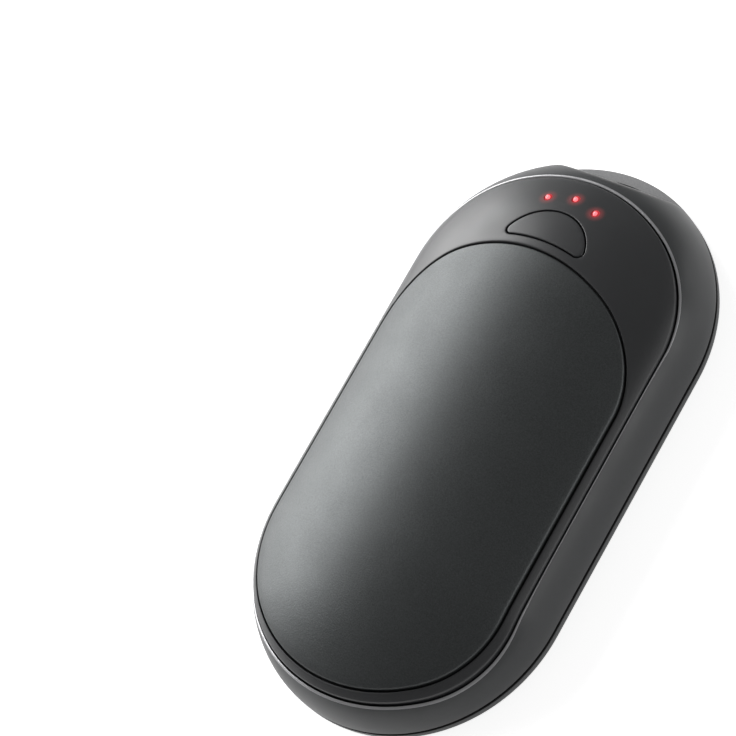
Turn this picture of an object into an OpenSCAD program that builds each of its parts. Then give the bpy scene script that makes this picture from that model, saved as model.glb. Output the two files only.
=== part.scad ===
// Rechargeable pocket hand warmer: one palm-sized unit with a flat back and a domed front.
// It lies on its back: X is its width, Y its length with the button end at +Y, and Z its thickness.
// The origin is the centre of the flat back face. All sizes are in millimetres.

/* [Body] */
// Width over the round sides
body_w = 52; // [50:1:58]
// Length over the round ends
body_l = 96; // [92:1:110]
// Thickness from the flat back to the crown
body_h = 17; // [16:0.5:18]
// Height of the dark parting line above the back
parting_h = 1.9; // [1.7:0.1:2.4]
// Radius of the rounded side wall above the parting line
shoulder_r = 11; // [10:0.25:11.5]
// Rounding of the lower outer edge
foot_r = 0.7; // [0.3:0.1:1]
// Wall of the side frame and of the back cover's rim
wall_t = 1.6; // [1.4:0.1:1.8]
// Floor of the back cover
floor_t = 1.4; // [1.2:0.1:1.6]
// Visible seam between two shells
seam_w = 0.3; // [0.15:0.05:0.4]
// Clearance between two shells where they do not show
lap_clear = 0.15; // [0.1:0.05:0.25]
// Height of the back cover's lip above the parting line
lip_h = 1.2; // [1:0.1:1.4]
// Thickness of that lip
lip_t = 1.1; // [0.8:0.1:1.4]

/* [Face shell] */
// Distance from the body's sides to the face shell
face_side = 2.8; // [2.6:0.1:3.4]
// Distance from the body's foot end to the face shell
face_foot = 2.8; // [2.2:0.1:3.5]
// Width of the frame between the lanyard notch and the face shell
notch_rim = 1.5; // [1.1:0.1:1.8]
// Distance of the face shell's corner arcs from the middle at the button end
face_corner = 4; // [3:0.5:5]
// Extra radius of the flatter arc between those corners
face_flat = 3.5; // [2.5:0.5:4.5]
// Distance of the corner arcs from the middle at the foot end, for plate and face alike
foot_corner = 4; // [3:0.5:4.5]
// Extra radius of the flatter arc between the foot end's corners
foot_flat = 2.5; // [1:0.5:2.5]
// Thickness of the face shell
face_t = 1.4; // [1.3:0.1:1.6]
// Width of the frame's flange under the face shell
flange_w = 0.7; // [0.5:0.1:0.8]
// Thickness of that flange
flange_t = 1; // [0.8:0.1:1.2]

/* [Heat plate] */
// Width of the face shell's rim beside the heat plate
face_rim = 1.3; // [1.2:0.1:2]
// Width of that rim at the foot end
rim_foot = 1.5; // [1.4:0.1:2.6]
// Distance of the plate's corner arcs from the middle at the button end
plate_corner = 5; // [4:0.5:5.5]
// Extra radius of the flatter arc between those corners
plate_flat = 6.5; // [5:0.5:7.5]
// Thickness of the metal heat plate
plate_t = 1; // [0.9:0.1:1.1]
// Thickness of the adhesive ring under the plate's rim
tape_t = 0.15; // [0.1:0.05:0.2]
// Width of that ring
tape_w = 1.5; // [1:0.1:1.8]
// Width of the face shell's ledge under the plate
ledge_w = 2; // [2:0.1:2.6]
// Thickness of that ledge
ledge_t = 1; // [0.8:0.1:1.2]

/* [Power button] */
// Radius of the button's round outline
button_r = 7.3; // [6.8:0.1:7.6]
// Gap between the heat plate and the button's lower edge
button_gap = 2; // [1.6:0.1:2.2]
// Height of the button from its lower edge to its top
button_d = 5.4; // [5.2:0.1:5.7]
// Flat cut of the button's two corners
button_corner = 0.5; // [0.3:0.1:0.8]
// Running gap round the button
button_clear = 0.25; // [0.2:0.05:0.3]
// Travel of the button
button_travel = 0.4; // [0.3:0.05:0.5]
// Width of the button's retaining flange
button_flange = 0.5; // [0.3:0.1:0.6]
// Thickness of that flange
button_flange_t = 0.8; // [0.6:0.1:1]
// Diameter of the button's stem
stem_d = 3.4; // [3:0.1:4]
// Length of that stem under the face shell
stem_l = 2.2; // [2:0.1:2.6]

/* [Lamps] */
// Diameter of each lamp's light pipe
lamp_d = 1.3; // [1:0.1:1.4]
// Distance of the middle lamp from the face shell's end
lamp_in = 3.6; // [3.4:0.1:4]
// Distance of the outer lamps below the middle one
lamp_drop = 1.2; // [0.8:0.1:1.4]
// Distance of the middle lamp above the button
lamp_gap = 3.2; // [2.8:0.1:3.6]
// Spacing of the lamps across the width
lamp_pitch = 4.4; // [4.2:0.05:4.6]
// Fit between a light pipe and its hole
lamp_clear = 0.05; // [0.03:0.01:0.1]
// Length, width and height of each light emitting chip
emitter_size = [1.6, 0.8, 0.6];
// Outer diameter of each tube of the light baffle
baffle_d = 3.2; // [3:0.1:3.4]
// Bore of each tube of the light baffle
baffle_bore = 2.1; // [2:0.1:2.3]
// Gap between the light baffle and the face shell
baffle_gap = 1.3; // [1.2:0.1:1.8]

/* [Lanyard notch] */
// Depth of the notch at the top of the frame
notch_top = 5.2; // [5:0.1:5.4]
// Depth of the notch at its foot
notch_foot = 2.1; // [1.9:0.1:2.5]
// Height of the lanyard bar above the parting line
bar_h = 1; // [0.8:0.1:1.4]
// Width of the lanyard bar outside its slot
bar_t = 1.6; // [1.4:0.1:2]
// Length of the lanyard slot
slot_l = 9; // [7:0.5:11]
// Width of the lanyard slot
slot_w = 1.4; // [1.2:0.1:1.6]
// Wall behind the notch
notch_wall = 2.2; // [2:0.1:2.4]

/* [Port cover] */
// Direction of the charging port, seen from the front
port_angle = 149; // [147:1:151]
// Length of the cover from the port's middle to its hinge
cover_near = 8.6; // [8.2:0.1:9]
// Length of the cover from the port's middle to its free end
cover_far = 9.5; // [8.8:0.1:10.2]
// Height of the cover's lower edge
cover_low = 0.8; // [0.7:0.1:1]
// Height of the cover's upper edge above the parting line
cover_top = 4.5; // [4.3:0.1:4.8]
// Thickness of the cover
cover_t = 1.4; // [1.2:0.1:1.5]
// Gap round the cover
cover_gap = 0.25; // [0.2:0.05:0.3]
// Wall behind the cover
port_wall = 1.2; // [1:0.1:1.4]
// Overlap of the port's wall beyond the cover's ends
port_land = 1; // [0.8:0.1:1.2]
// Length of the fixed anchor beside the hinge
anchor_l = 1.8; // [1.4:0.1:2.2]
// Length of the pull tab
tab_l = 4.1; // [3.6:0.1:4.6]
// Height of the pull tab
tab_rise = 0.5; // [0.3:0.1:0.8]
// Distance of the pull tab from the cover's upper edge
tab_drop = 1.4; // [1:0.1:1.6]
// Depth of the cover's plug
plug_depth = 0.9; // [0.7:0.1:1]
// Gap round the plug in the port
plug_gap = 0.4; // [0.3:0.05:0.5]

/* [Charging port] */
// Width of the socket's metal shell
usb_w = 8.9; // [8.9:0.1:9]
// Height of the socket's metal shell
usb_h = 3.2; // [3.1:0.05:3.2]
// Length of the socket's metal shell
usb_l = 7.3; // [6.8:0.1:7.5]
// Metal thickness of the socket
usb_t = 0.3; // [0.25:0.05:0.35]
// Width, length and thickness of the contact tongue
tongue_size = [6.7, 5.4, 0.7];
// Thickness of the socket's rear block
usb_back = 0.8; // [0.6:0.1:1]
// Clearance of the socket in its wall
usb_clear = 0.15; // [0.1:0.05:0.2]

/* [Main board] */
// Height of the board's underside
board_z = 5.9; // [5.8:0.1:6]
// Thickness of the board
board_t = 1; // [0.8:0.1:1.2]
// Distance from the body's side to the board
board_side = 7.6; // [7.4:0.1:8]
// Distance from the board's straight edge to its first row of parts
board_edge = 2; // [1.8:0.1:2.4]
// Side of the tact switch
switch_w = 6; // [5.8:0.1:6.2]
// Diameter of the switch's plunger
plunger_d = 3.2; // [3:0.1:3.4]
// Height of the plunger above the switch
plunger_h = 0.9; // [0.8:0.1:1.1]
// Side and height of the two controller chips
chip_size = [4, 4, 0.9];
// Size of the two heater transistors
mosfet_size = [3, 2.4, 1];
// Diameter and height of the power inductor
inductor_size = [4.4, 2];
// Size of each capacitor
cap_size = [1.6, 0.9, 0.9];
// Size of each resistor
res_size = [1, 0.5, 0.4];
// Gap between neighbouring parts on the board
part_gap = 0.6; // [0.4:0.1:0.7]
// Size of the battery connector
plug_size = [7, 5, 3.2];

/* [Fasteners] */
// Outer diameter of the board posts
post_d = 4.4; // [4:0.1:4.6]
// Distance of the screw posts from the board's side
post_in = 7.4; // [7.2:0.1:7.6]
// Diameter of the screws' shank
screw_d = 1.6; // [1.4:0.1:1.8]
// Length of the screws under the head
screw_l = 4; // [3.5:0.1:4.2]
// Diameter of the screws' head
screw_head = 3; // [2.8:0.1:3.2]
// Height of the screws' head
screw_head_h = 0.9; // [0.7:0.1:1.1]
// Width of the cross in the screws' head
screw_cross = 0.5; // [0.4:0.05:0.6]
// Clearance of the screws in the board
screw_clear = 0.1; // [0.05:0.05:0.2]

/* [Battery] */
// Distance of the pouch cell from the body's sides
cell_side = 10.5; // [10:0.5:12]
// Thickness of the pouch cell
cell_t = 7.6; // [6.8:0.1:7.6]
// Distance of the cell from the body's foot end
cell_foot = 17.5; // [17:0.1:18]
// Edge rounding of the cell
cell_r = 2; // [1.5:0.1:2.5]
// Size of each nickel tab
tab_size = [4, 1.2, 0.2];
// Thickness of the protection board
guard_t = 1; // [0.8:0.1:1.2]
// Distance of the protection board from the cell's sides
guard_side = 4.5; // [4:0.5:5.5]
// Height of the protection board
guard_h = 3.4; // [3:0.1:3.6]
// Diameter of the wires
wire_d = 1; // [0.8:0.1:1.1]
// Length of the battery's wires, with their ends in the connector
lead_l = 3.8; // [3.6:0.1:4.4]
// Wall of the battery tray
tray_t = 1; // [0.8:0.1:1.2]
// Height of the battery tray's wall
tray_h = 4; // [3.5:0.1:4.5]
// Clearance of the cell in its tray
tray_clear = 0.2; // [0.15:0.05:0.3]

/* [Heating] */
// Thickness of the two heating films
film_t = 0.2; // [0.15:0.05:0.3]
// Bare rim round the front film, inside the plate's glued edge and the rounded side
film_edge = 1; // [0.8:0.1:1.6]
// Distance of the front film from the plate's upper end
film_head = 2.8; // [2.6:0.1:3.4]
// Distance of the back film from the cell's sides
back_film_side = 1.5; // [1:0.5:3]
// Thickness of the pad on the back film
pad_t = 0.3; // [0.2:0.05:0.4]
// Diameter of the temperature sensor
sensor_d = 2; // [1.6:0.1:2.2]
// Height of the temperature sensor
sensor_h = 1; // [0.8:0.1:1.2]
// Diameter of the thermal fuse
fuse_d = 1.8; // [1.6:0.1:2]
// Length of the thermal fuse
fuse_l = 7; // [6:0.5:8]
// Diameter of the magnets
magnet_d = 6; // [5:0.5:6.5]
// Thickness of the magnets
magnet_t = 1; // [0.8:0.1:1.2]
// Distance of the foot magnets from the centre line
magnet_x = 9; // [8:0.5:10]
// Distance of the foot magnets from the body's foot end
magnet_foot = 10.5; // [10:0.5:11.5]
// Distance of the head magnets from the centre line
magnet_head_x = 7.5; // [7:0.5:8]
// Distance of the head magnets from the body's button end
magnet_head = 15.5; // [15:0.5:16.5]

/* [Hidden] */
$fn = 72;
half_turn = 180;
quarter = 90;
// Overrun of every cutting body
over = 1;
body_r = body_w / 2;
end_y = body_l / 2 - body_r;
side_x = body_r - shoulder_r;
side_top = parting_h + shoulder_r;
rise = body_h - parting_h;
// The dome's arc meets the side wall's arc tangentially
dome_r = (body_r * body_r + rise * rise - 2 * body_r * shoulder_r) / (2 * (rise - shoulder_r));
dome_z = body_h - dome_r;
rim_z = parting_h - seam_w / 2;
frame_z = parting_h + seam_w / 2;
face_r = body_r - face_side;
face_head = notch_top + notch_rim;
// How far the flatter arc's centre lies behind the corner arcs' centres
function arc_reach(cx, e) = sqrt(e * e + 2 * e * cx);
face_reach = arc_reach(face_corner, face_flat);
foot_reach = arc_reach(foot_corner, foot_flat);
face_y0 = face_foot + face_r + foot_flat - foot_reach - body_l / 2;
face_y1 = body_l / 2 - face_head - face_r - face_flat + face_reach;
lamp_mid = face_head + lamp_in;
// The heat plate ends where the button begins
plate_r = face_r - face_rim;
plate_foot = face_foot + rim_foot;
plate_head = lamp_mid + lamp_gap + button_d + button_gap;
plate_reach = arc_reach(plate_corner, plate_flat);
plate_y0 = plate_foot + plate_r + foot_flat - foot_reach - body_l / 2;
plate_y1 = body_l / 2 - plate_head - plate_r - plate_flat + plate_reach;
// How far from the middle line the crown's arc reaches on the plate's underside
crown_reach = (dome_r - plate_t) * side_x / (dome_r - shoulder_r);
// The front film lies on the crown alone, clear of the plate's glued edge
film_r = min(crown_reach, plate_r - ledge_w) - film_edge;
film_y1 = body_l / 2 - plate_head - film_head - film_r;
// Height of the domed surface at a place, below it by an inset
function dome_at(x, y, inset) = dome_z + sqrt(pow(dome_r - inset, 2)
    - pow(x, 2) - pow(max(abs(y) - end_y, 0), 2));
board_top = board_z + board_t;
// The button's lower edge runs parallel to the heat plate
button_low_r = plate_r + plate_flat + button_gap;
button_y0 = body_l / 2 - plate_head + button_gap;
button_y = button_y0 + button_d - button_r;
button_half = sqrt(pow(button_r, 2) - pow(button_y - button_y0 + button_gap, 2)) - button_corner;
switch_y = button_y0 + button_d / 2;
plunger_top = dome_at(0, switch_y, face_t) - stem_l;
switch_top = plunger_top - plunger_h;
switch_h = switch_top - board_top;
lamp_y = body_l / 2 - lamp_mid;
lamp_places = [
    [-lamp_pitch, lamp_y - lamp_drop],
    [0, lamp_y],
    [lamp_pitch, lamp_y - lamp_drop]];
baffle_h = dome_at(0, lamp_y, face_t) - board_top - baffle_gap;
ledge_z = parting_h + bar_h;
// The flange ends above the back cover's lip
flange_z = parting_h + lip_h + seam_w;
notch_lean = (notch_top - notch_foot) / (side_top - ledge_z);
slot_y = body_l / 2 - bar_t - slot_w / 2;
slot_r = (pow(slot_l / 2, 2) + pow(slot_w / 2, 2)) / slot_w;
cover_z1 = parting_h + cover_top;
recess_in = cover_t + cover_gap;
// Direction that a length along the round end spans
function arc_angle(length) = length / body_r * half_turn / PI;
gap_angle = arc_angle(cover_gap);
cover_from = port_angle - arc_angle(cover_near);
cover_to = port_angle + arc_angle(cover_far);
anchor_from = cover_from - arc_angle(anchor_l);
usb_z = board_z - usb_h / 2;
// The socket's mouth lies flat just behind the cover
usb_mouth = side_x + sqrt(pow(shoulder_r - recess_in, 2) - pow(board_z - parting_h, 2));
board_r = body_r - board_side;
post_x = board_r - post_in;
// Rows of small parts across the board, from the switch to its straight edge
chip_x = post_x - (screw_head + chip_size[0]) / 2 - part_gap;
chip_y = switch_y - (switch_w + chip_size[1]) / 2 - part_gap;
res_y = chip_y - (res_size[1] + chip_size[1]) / 2 - part_gap;
cap_y = res_y - (cap_size[1] + res_size[1]) / 2 - part_gap;
cap_pitch = cap_size[0] + part_gap;
res_pitch = res_size[0] + part_gap / 2;
board_y0 = cap_y - cap_size[1] / 2 - board_edge;
// Power parts to the left and right of the switch
mosfet_x = -(switch_w + mosfet_size[0]) / 2 - part_gap;
mosfet_pitch = mosfet_size[1] + part_gap;
side_cap_x = mosfet_x - (mosfet_size[0] + cap_size[0]) / 2 - part_gap;
side_cap_pitch = cap_size[1] + part_gap;
inductor_x = (switch_w + inductor_size[0]) / 2 + part_gap;
plug_y = board_y0 + plug_size[1] / 2 + lap_clear;
// The guard board lies at the wires' ends, and the cell fills the length that is left
guard_y = plug_y - lead_l - guard_t;
cell_y0 = cell_foot - body_l / 2;
cell_y1 = guard_y - tab_size[1];
cell_w = body_w - cell_side * 2;
cell_l = cell_y1 - cell_y0;
cell_z0 = floor_t + film_t + pad_t;
cell_z1 = cell_z0 + cell_t;
guard_w = cell_w - guard_side * 2;
back_film_r = cell_w / 2 - back_film_side;
post_y = board_y0 + post_d;
cross_side = screw_head - screw_cross * 2;

// Sweeps a half profile round both ends and along the straight sides
module pill() {
    for (side = [0, 1])
        rotate([0, 0, side * half_turn])
            translate([0, end_y, 0])
                rotate_extrude(angle = half_turn)
                    children();
    translate([0, end_y, 0])
        rotate([quarter, 0, 0])
            linear_extrude(height = end_y * 2)
                union() {
                    children();
                    mirror([1, 0]) children();
                }
}

// Upright column with straight sides between y0 and y1 and an arched end at each of them
module column(r, y0, y1, z0, z1, foot = [0, 0], head = [0, 0]) {
    translate([0, 0, z0])
        linear_extrude(height = z1 - z0)
            union() {
                translate([-r, y0]) square([r * 2, y1 - y0]);
                translate([0, y0]) scale([1, -1]) arched_end(r, foot[0], foot[1]);
                translate([0, y1]) arched_end(r, head[0], head[1]);
            }
}

// End of a column: two corner arcs about points cx off the middle and a flatter arc between them
module arched_end(r, cx, e) {
    reach = arc_reach(cx, e);
    way = atan2(reach, cx);
    far = (r + e) * 2;
    for (s = [-1, 1])
        translate([s * cx, 0]) circle(r = r - cx);
    if (e > 0)
        intersection() {
            translate([0, -reach]) circle(r = r + e, $fn = 180);
            polygon([[0, -reach],
                [far * cos(way), far * sin(way) - reach],
                [0, far * 2],
                [-far * cos(way), far * sin(way) - reach]]);
        }
}

// Outline of the face shell, grown by some distance
module face_column(grow, z0, z1) {
    column(face_r + grow, face_y0, face_y1, z0, z1, [foot_corner, foot_flat], [face_corner, face_flat]);
}

// Outline of the heat plate, grown by some distance
module plate_column(grow, z0, z1) {
    column(plate_r + grow, plate_y0, plate_y1, z0, z1, [foot_corner, foot_flat], [plate_corner, plate_flat]);
}

// Half profile of all that lies under the domed front and its rounded side, less an inset
module skin_under(inset) {
    far = body_r * 2;
    union() {
        intersection() {
            translate([0, dome_z]) circle(r = dome_r - inset, $fn = 360);
            polygon([[0, 0], [side_x, 0], [side_x, parting_h],
                [side_x + (far - parting_h) * side_x / (parting_h - dome_z), far],
                [0, far]]);
        }
        square([side_x, parting_h]);
        square([body_r - inset, parting_h]);
        translate([side_x, parting_h]) intersection() {
            circle(r = shoulder_r - inset);
            square(shoulder_r * 2);
        }
    }
}

// Half profile of the domed front between two insets
module dome_band(a, b) {
    difference() {
        intersection() {
            skin_under(a);
            translate([0, parting_h]) square([body_w, body_h]);
        }
        skin_under(b);
    }
}

// Half profile of the crown alone between two insets, out to some radius
module crown_band(a, b, out) {
    difference() {
        intersection() {
            translate([0, dome_z]) circle(r = dome_r - a, $fn = 360);
            square([out, body_h]);
        }
        translate([0, dome_z]) circle(r = dome_r - b, $fn = 360);
    }
}

// Half profile of all that lies under the domed front, less an inset
module dome_under(a, z0) {
    intersection() {
        skin_under(a);
        translate([0, z0]) square([body_r, body_h - z0]);
    }
}

// Half profile of the round side wall less an inset, from one height to another
module side_half(inset, z0, z1) {
    intersection() {
        skin_under(inset);
        translate([0, z0]) square([body_w, z1 - z0]);
    }
}

// Part of the side wall that a span of directions round the button end covers
module side_sector(from, to, inset_a, inset_b, z0, z1) {
    translate([0, end_y, 0])
        rotate([0, 0, from])
            rotate_extrude(angle = to - from)
                intersection() {
                    difference() {
                        side_half(inset_a, z0, z1);
                        side_half(inset_b, z0 - over, z1 + over);
                    }
                    translate([side_x, z0]) square([shoulder_r * 2, z1 - z0]);
                }
}

// Wedge across the button end that leans with the notch, set back by some distance
module notch_wedge(back, z0, z1) {
    wide = body_w;
    y_at = body_l / 2 - notch_foot - back;
    translate([-wide / 2, 0, 0])
        rotate([quarter, 0, quarter])
            linear_extrude(height = wide)
                polygon([
                    [y_at - (z0 - ledge_z) * notch_lean, z0],
                    [body_l / 2 + over, z0],
                    [body_l / 2 + over, z1],
                    [y_at - (z1 - ledge_z) * notch_lean, z1]]);
}

// Lens-shaped lanyard slot, made by two crossing cylinders
module lanyard_slot() {
    intersection_for (s = [-1, 1])
        translate([0, slot_y + s * (slot_r - slot_w / 2), -over])
            cylinder(r = slot_r, h = ledge_z + over * 3, $fn = 180);
}

// Outline of the button: a disc cut by the arc that follows the heat plate
module button_outline(grow) {
    intersection() {
        difference() {
            translate([0, button_y]) circle(r = button_r + grow);
            translate([0, button_y0 - button_low_r]) circle(r = button_low_r - grow, $fn = 180);
        }
        translate([-button_half - grow, button_y - button_r])
            square([(button_half + grow) * 2, button_r * 3]);
    }
}

// Flat stadium in the plane of the socket's mouth
module socket_outline(w, h) {
    union() {
        for (s = [-1, 1])
            translate([s * (w - h) / 2, 0]) circle(d = h);
        square([w - h, h], center = true);
    }
}

// Places its children in the socket's mouth, with +Z pointing out of the body
module at_socket(out) {
    translate([0, end_y, usb_z])
        rotate([0, 0, port_angle])
            translate([usb_mouth + out, 0, 0])
                rotate([quarter, 0, quarter])
                    children();
}

module centred_box(size, x, y, z) {
    translate([x - size[0] / 2, y - size[1] / 2, z])
        cube(size);
}

// Domed metal plate that warms the hand
module heat_plate() {
    color("#3a3e40")
        intersection() {
            pill() dome_band(0, plate_t);
            plate_column(0, 0, body_h + over);
        }
}

// Domed plastic face round the plate, with the button hole and the lamp holes
module face_shell() {
    ledge_in = plate_t + tape_t;
    color("#2f3234")
        difference() {
            union() {
                intersection() {
                    pill() dome_band(0, face_t);
                    difference() {
                        face_column(0, 0, body_h + over);
                        plate_column(seam_w, -over, body_h + over * 2);
                    }
                }
                intersection() {
                    pill() dome_band(ledge_in, ledge_in + ledge_t);
                    difference() {
                        plate_column(seam_w + lap_clear, 0, body_h);
                        plate_column(-ledge_w, -over, body_h + over);
                    }
                    face_column(-seam_w, 0, body_h);
                }
            }
            translate([0, 0, dome_at(0, body_l / 2 - face_head, face_t) - over])
                linear_extrude(height = body_h)
                    button_outline(button_clear);
            for (p = lamp_places)
                translate([p[0], p[1], 0])
                    cylinder(d = lamp_d + lamp_clear * 2, h = body_h + over, $fn = 32);
        }
}

// Rounded side frame with its flange, the lanyard notch and the port's wall
module side_frame() {
    inner = wall_t;
    color("#3c4043")
        difference() {
            union() {
                difference() {
                    union() {
                        pill() difference() {
                            side_half(0, frame_z, side_top);
                            side_half(inner, 0, side_top + over);
                        }
                        intersection() {
                            pill() side_half(0, frame_z, side_top);
                            notch_wedge(notch_wall, frame_z, side_top);
                        }
                    }
                    face_column(seam_w, 0, body_h + over);
                }
                intersection() {
                    pill() intersection() {
                        dome_band(seam_w, face_t + lap_clear + flange_t);
                        translate([0, flange_z]) square([body_w, body_h]);
                    }
                    difference() {
                        face_column(seam_w + over, 0, body_h);
                        face_column(seam_w, -over, body_h + over);
                    }
                }
                intersection() {
                    pill() intersection() {
                        dome_band(face_t + lap_clear, face_t + lap_clear + flange_t);
                        translate([0, flange_z]) square([body_w, body_h]);
                    }
                    difference() {
                        face_column(seam_w + over / 2, 0, body_h);
                        face_column(-flange_w, -over, body_h + over);
                    }
                }
                difference() {
                    side_sector(anchor_from - arc_angle(port_land), cover_to + arc_angle(port_land),
                        wall_t / 2, recess_in + port_wall, frame_z, cover_z1 + cover_gap + over);
                    face_column(-flange_w, -over, body_h + over);
                    intersection() {
                        pill() dome_band(-over, face_t + lap_clear);
                        face_column(seam_w, 0, body_h);
                    }
                }
            }
            notch_wedge(0, ledge_z, side_top + over);
            lanyard_slot();
            side_sector(anchor_from - gap_angle, cover_to + gap_angle,
                -over, recess_in, 0, cover_z1 + cover_gap);
            at_socket(-port_wall * 3)
                linear_extrude(height = port_wall * 5)
                    socket_outline(usb_w + usb_clear * 2, usb_h + usb_clear * 2);
        }
}

// Flat back with its shallow rim, inner lip, board posts and magnet seats
module back_cover() {
    lip_r = body_r - wall_t - lap_clear * 2;
    lip_in = lip_r - lip_t;
    color("#33373a")
        difference() {
            union() {
                difference() {
                    pill() union() {
                        square([body_r - foot_r, rim_z]);
                        translate([0, foot_r]) square([body_r, rim_z - foot_r]);
                        translate([body_r - foot_r, foot_r]) circle(r = foot_r, $fn = 32);
                    }
                    difference() {
                        pill() translate([0, floor_t]) square([lip_in - lap_clear, body_h]);
                        notch_wedge(notch_wall, 0, body_h + over);
                    }
                }
                difference() {
                    pill() translate([lip_in, floor_t / 2])
                        square([lip_t, parting_h + lip_h - floor_t / 2]);
                    notch_wedge(notch_wall + lap_clear, 0, side_top);
                    side_sector(anchor_from - arc_angle(port_land + cover_gap),
                        cover_to + arc_angle(port_land + cover_gap),
                        -over, recess_in + port_wall + lap_clear * 3, 0, side_top);
                }
                for (s = [-1, 1])
                    translate([s * post_x, post_y, floor_t / 2])
                        cylinder(d = post_d, h = board_z - floor_t / 2);
                translate([0, lamp_y - post_d / 4, floor_t / 2])
                    cylinder(d = post_d, h = board_z - floor_t / 2);
            }
            side_sector(anchor_from - gap_angle, cover_to + gap_angle,
                -over, recess_in, cover_low - cover_gap, side_top);
            for (s = [-1, 1])
                translate([s * post_x, post_y, board_z - screw_l])
                    cylinder(d = screw_d, h = screw_l + over, $fn = 32);
            lanyard_slot();
            for (p = magnet_places)
                translate([p[0], p[1], floor_t - magnet_t])
                    cylinder(d = magnet_d + lap_clear, h = magnet_t + over);
        }
}

magnet_places = [
    [-magnet_x, magnet_foot - body_l / 2], [magnet_x, magnet_foot - body_l / 2],
    [-magnet_head_x, body_l / 2 - magnet_head], [magnet_head_x, body_l / 2 - magnet_head]];

// Crescent power button with a hidden flange and a stem
module power_button() {
    color("#303335")
        union() {
            intersection() {
                pill() dome_band(0, face_t + lap_clear + button_flange_t);
                linear_extrude(height = body_h + over) button_outline(0);
            }
            intersection() {
                pill() dome_band(face_t + lap_clear, face_t + lap_clear + button_flange_t);
                linear_extrude(height = body_h + over) button_outline(button_clear + button_flange);
            }
            translate([0, switch_y, plunger_top])
                cylinder(d = stem_d, h = dome_at(0, switch_y, face_t) - plunger_top);
        }
}

// Three round light pipes, flush with the face
module light_pipes() {
    z0 = board_top + emitter_size[2] + lap_clear;
    color("#ff3040")
        intersection() {
            union()
                for (p = lamp_places)
                    translate([p[0], p[1], z0])
                        cylinder(d = lamp_d, h = body_h - z0, $fn = 32);
            pill() dome_under(0, 0);
        }
}

// Swinging cover over the charging port, with its pull tab and plug
module port_cover() {
    tab_z1 = cover_z1 - tab_drop;
    color("#44484b")
        union() {
            side_sector(cover_from + gap_angle, cover_to, 0, cover_t, cover_low, cover_z1);
            side_sector(cover_to - arc_angle(tab_l), cover_to, -tab_rise, cover_t / 2,
                cover_low, tab_z1);
            at_socket(-plug_depth)
                linear_extrude(height = plug_depth + recess_in)
                    socket_outline(usb_w - (usb_t + plug_gap) * 2, usb_h - (usb_t + plug_gap) * 2);
        }
}

// Fixed end of the cover, pressed into the frame beside the hinge
module port_cover_anchor() {
    color("#44484b")
        side_sector(anchor_from, cover_from, 0, recess_in, cover_low, cover_z1);
}

// Circuit board in the button end
module main_board() {
    color("#1f5a3c")
        difference() {
            translate([0, 0, board_z])
                linear_extrude(height = board_t)
                    intersection() {
                        union() {
                            translate([0, end_y]) circle(r = board_r);
                            translate([-board_r, 0]) square([board_r * 2, end_y]);
                        }
                        translate([-board_r, board_y0]) square([board_r * 2, body_l]);
                    }
            for (s = [-1, 1])
                translate([s * post_x, post_y, board_z - over])
                    cylinder(d = screw_d + screw_clear * 2, h = board_t + over * 2, $fn = 32);
        }
}

// Metal shell of the charging socket
module usb_shell() {
    color("#b9bcc0")
        at_socket(-usb_l)
            difference() {
                linear_extrude(height = usb_l) socket_outline(usb_w, usb_h);
                translate([0, 0, usb_back])
                    linear_extrude(height = usb_l)
                        socket_outline(usb_w - usb_t * 2, usb_h - usb_t * 2);
            }
}

// Contact tongue inside the socket
module usb_tongue() {
    color("#1c1d1f")
        at_socket(usb_back - usb_l)
            translate([-tongue_size[0] / 2, -tongue_size[2] / 2, 0])
                cube([tongue_size[0], tongue_size[2], tongue_size[1]]);
}

// Body of the switch under the button
module tact_switch() {
    color("#26282a")
        difference() {
            centred_box([switch_w, switch_w, switch_h], 0, switch_y, board_top);
            translate([0, switch_y, switch_top - button_travel * 2])
                cylinder(d = plunger_d + lap_clear * 2, h = switch_h);
        }
}

// Plunger of that switch
module switch_plunger() {
    z0 = switch_top - button_travel;
    color("#101112")
        translate([0, switch_y, z0])
            cylinder(d = plunger_d, h = plunger_top - z0);
}

// Three light emitting chips under the light pipes
module status_emitters() {
    color("#f4ece0")
        for (p = lamp_places)
            centred_box(emitter_size, p[0], p[1], board_top);
}

// Black tubes that keep each lamp's light apart
module light_baffle() {
    color("#151617")
        translate([0, 0, board_top])
            difference() {
                union() {
                    for (p = lamp_places)
                        translate([p[0], p[1], 0]) cylinder(d = baffle_d, h = baffle_h);
                    for (s = [0, 1])
                        mirror([s, 0, 0])
                            translate([0, lamp_places[1][1], 0])
                                rotate([0, 0, -atan2(lamp_drop, lamp_pitch)])
                                    translate([0, -baffle_d / 4, 0])
                                        cube([lamp_pitch, baffle_d / 2, baffle_h / 2]);
                }
                for (p = lamp_places)
                    translate([p[0], p[1], -over])
                        cylinder(d = baffle_bore, h = baffle_h + over * 2, $fn = 32);
            }
}

// Charging controller and heat controller
module control_chips() {
    color("#17181a")
        for (s = [-1, 1])
            centred_box(chip_size, s * chip_x, chip_y, board_top);
}

// Transistors that switch the two heating films
module heater_transistors() {
    color("#1d1e20")
        for (s = [-1, 1])
            centred_box(mosfet_size, mosfet_x, switch_y + s * mosfet_pitch / 2, board_top);
}

// Round power inductor
module power_inductor() {
    color("#4a4c50")
        translate([inductor_x, switch_y, board_top])
            cylinder(d = inductor_size[0], h = inductor_size[1]);
}

// Row of four capacitors and two beside the transistors
module board_capacitors() {
    color("#b08a5a")
        union() {
            for (i = [-3:2:3])
                centred_box(cap_size, i * cap_pitch / 2, cap_y, board_top);
            for (s = [-1, 1])
                centred_box(cap_size, side_cap_x, switch_y + s * side_cap_pitch / 2, board_top);
        }
}

// Row of eight resistors
module board_resistors() {
    color("#202225")
        for (i = [-7:2:7])
            centred_box(res_size, i * res_pitch / 2, res_y, board_top);
}

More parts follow.
